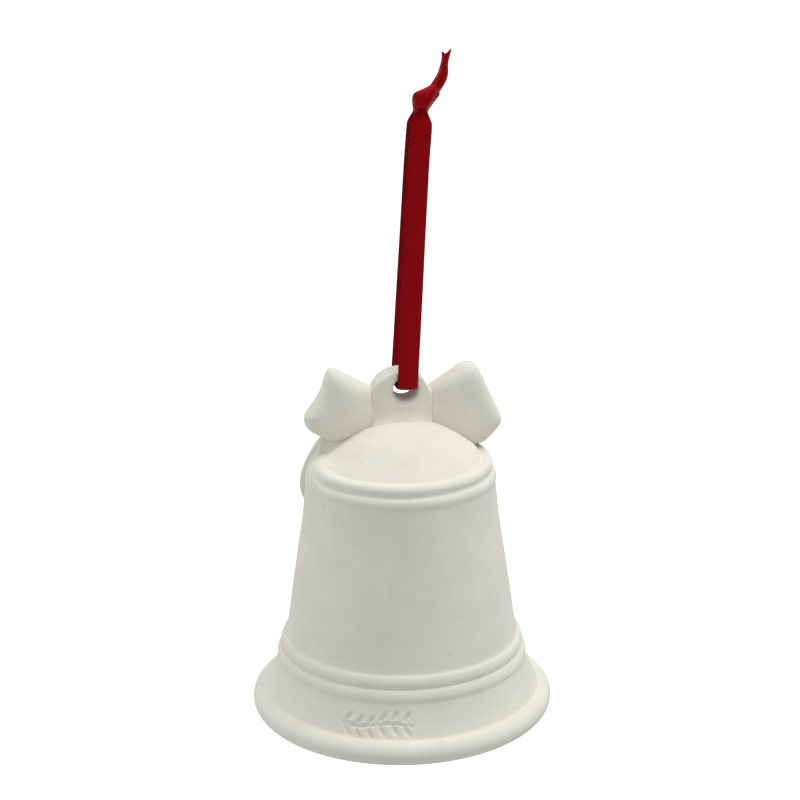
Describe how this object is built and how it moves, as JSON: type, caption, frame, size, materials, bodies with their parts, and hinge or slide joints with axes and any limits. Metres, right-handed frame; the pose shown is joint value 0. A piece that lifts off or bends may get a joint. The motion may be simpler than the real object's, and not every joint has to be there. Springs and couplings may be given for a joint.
{
  "type": "christmas bell ornament",
  "caption": "Hollow unglazed ceramic bell with a bow in relief, a wire clapper with a ceramic ball inside, and a knotted ribbon hanging loop.",
  "frame": {"origin": "inside top of the ribbon loop, just under the knot, where a hook or a twig takes it", "axes": "+Z plumb up; -Y towards the plain back of the bell, +Y towards the bow's decorated face; +X to the right when looking along +Y; the bell's own axis is tilted 2.3 degrees in the XZ plane because its hanging hole lies off that axis"},
  "size_m": [0.0849, 0.085, 0.188],
  "materials": {
    "bisque": "unglazed bisque, warm white, matte, faint sponge marks and pinholes",
    "plaster": "set plaster, chalky matte",
    "brass_wire": "drawn wire, dull",
    "ball_bisque": "unglazed bisque, matte",
    "red_satin": "woven satin ribbon, dark red, soft sheen"
  },
  "bodies": {
    "ribbon": {"ribbon_loop": "red_satin", "ribbon_knot": "red_satin", "ribbon_long_tail": "red_satin", "ribbon_short_tail": "red_satin"},
    "bell": {"bell_shell": "bisque", "bow_middle": "bisque", "bow_left_loop": "bisque", "bow_right_loop": "bisque", "bow_left_tail": "bisque", "bow_right_tail": "bisque", "crown_plug": "plaster", "clapper_eye": "brass_wire"},
    "clapper": {"clapper_wire": "brass_wire", "clapper_stop": "brass_wire"},
    "ball": {"clapper_ball": "ball_bisque"}
  },
  "joints": [
    {"name": "bell_swing", "type": "hinge", "parent": "ribbon", "child": "bell", "pos_m": [-0.00145, 0, -0.07569], "axis": [0, 1, 0], "range_deg": [-45, 45]},
    {"name": "clapper_swing", "type": "hinge", "parent": "bell", "child": "clapper", "pos_m": [-0.00266, -0.0055, -0.09785], "axis": [0, 1, 0], "range_deg": [-24, 20]},
    {"name": "ball_spin", "type": "hinge", "parent": "clapper", "child": "ball", "pos_m": [-0.00266, -0.0055, -0.14885], "axis": [0, 0, 1], "continuous": true}
  ]
}
